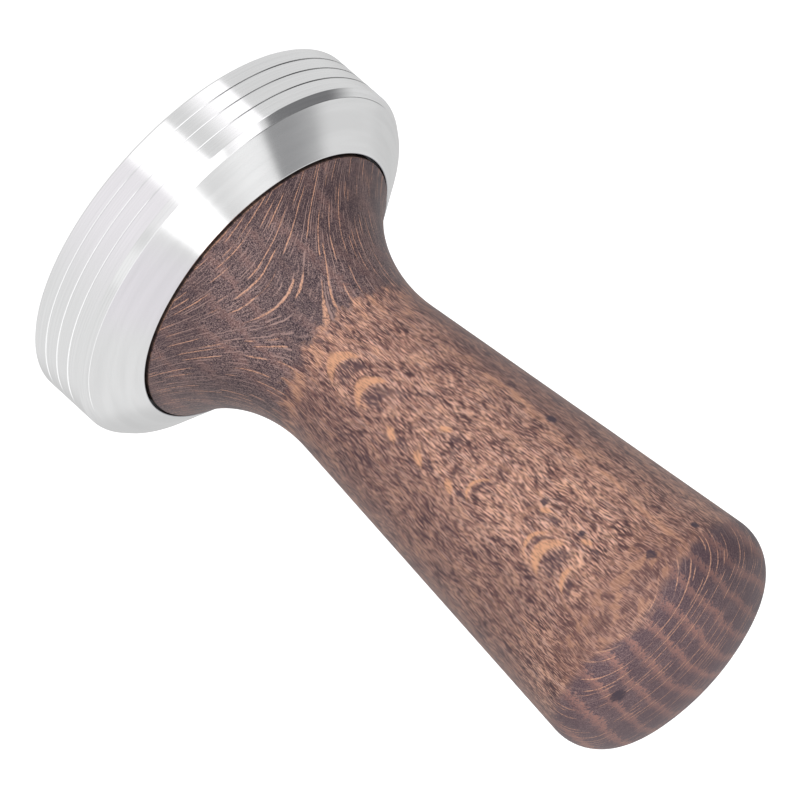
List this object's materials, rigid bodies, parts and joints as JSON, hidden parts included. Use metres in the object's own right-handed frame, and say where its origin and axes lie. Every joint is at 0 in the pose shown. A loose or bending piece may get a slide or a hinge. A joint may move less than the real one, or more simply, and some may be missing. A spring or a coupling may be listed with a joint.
{
  "type": "espresso tamper",
  "caption": "Espresso tamper: flat round stainless base with fine turned grooves and a conical top, and a dark turned wood handle that flares at the foot and ends in a low dome.",
  "frame": {"origin": "centre of the flat tamping face, which is the lowest plane", "axes": "+Z along the tamper's axis, from the tamping face to the end of the handle; X and Y are free, as the outside is turned"},
  "size_m": [0.058, 0.058, 0.0959],
  "materials": {
    "stainless": "fine turned stainless steel, satin bright",
    "stud_steel": "plain machined steel thread",
    "insert_brass": "plain turned brass",
    "stained_wood": "dark stained beech, satin lacquer"
  },
  "bodies": {
    "base": {"tamping_base": "stainless", "connecting_stud": "stud_steel"},
    "lift": {"handle_insert": "insert_brass"},
    "handle": {"handle": "stained_wood"}
  },
  "joints": [
    {"name": "handle_lift", "type": "slide", "parent": "base", "child": "lift", "axis": [0, 0, 1], "range_m": [0, 0.01]},
    {"name": "handle_turn", "type": "hinge", "parent": "lift", "child": "handle", "pos_m": [0, 0, 0.0143], "axis": [0, 0, 1], "range_deg": [0, 2880]}
  ],
  "couplings": [
    {"joint": "handle_lift", "follows": "handle_turn", "m_per_rad": 0.00019894}
  ]
}
